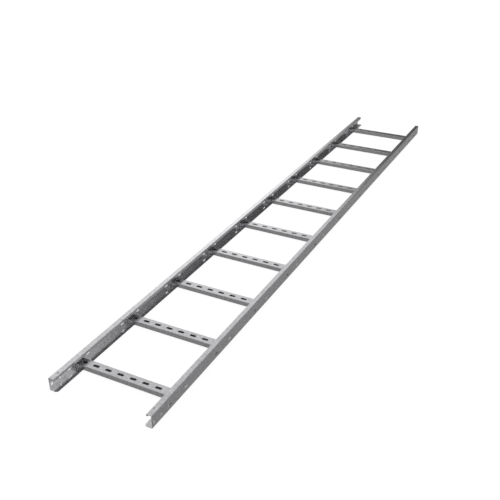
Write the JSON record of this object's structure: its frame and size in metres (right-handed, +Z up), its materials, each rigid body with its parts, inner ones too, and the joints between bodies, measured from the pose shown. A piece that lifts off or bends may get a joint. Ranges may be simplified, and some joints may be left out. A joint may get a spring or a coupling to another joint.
{
  "type": "cable ladder section",
  "caption": "Straight cable ladder length: C-shaped side rails joined by slotted channel rungs, in galvanised sheet steel.",
  "frame": {"origin": "middle of the ladder's underside, halfway along its length", "axes": "+Y along the ladder, +X across it to the right rail, +Z up out of the side that carries the cables"},
  "size_m": [0.4, 3, 0.05],
  "materials": {
    "galvanised_rail": "strip-galvanised, smooth and bright with faint rolling marks",
    "galvanised_rung": "strip-galvanised, smooth and satin with faint rolling marks"
  },
  "bodies": {
    "root": {"side_rail_left": "galvanised_rail", "side_rail_right": "galvanised_rail", "rung_1": "galvanised_rung", "rung_2": "galvanised_rung", "rung_3": "galvanised_rung", "rung_4": "galvanised_rung", "rung_5": "galvanised_rung", "rung_6": "galvanised_rung", "rung_7": "galvanised_rung", "rung_8": "galvanised_rung", "rung_9": "galvanised_rung", "rung_10": "galvanised_rung"}
  },
  "joints": []
}
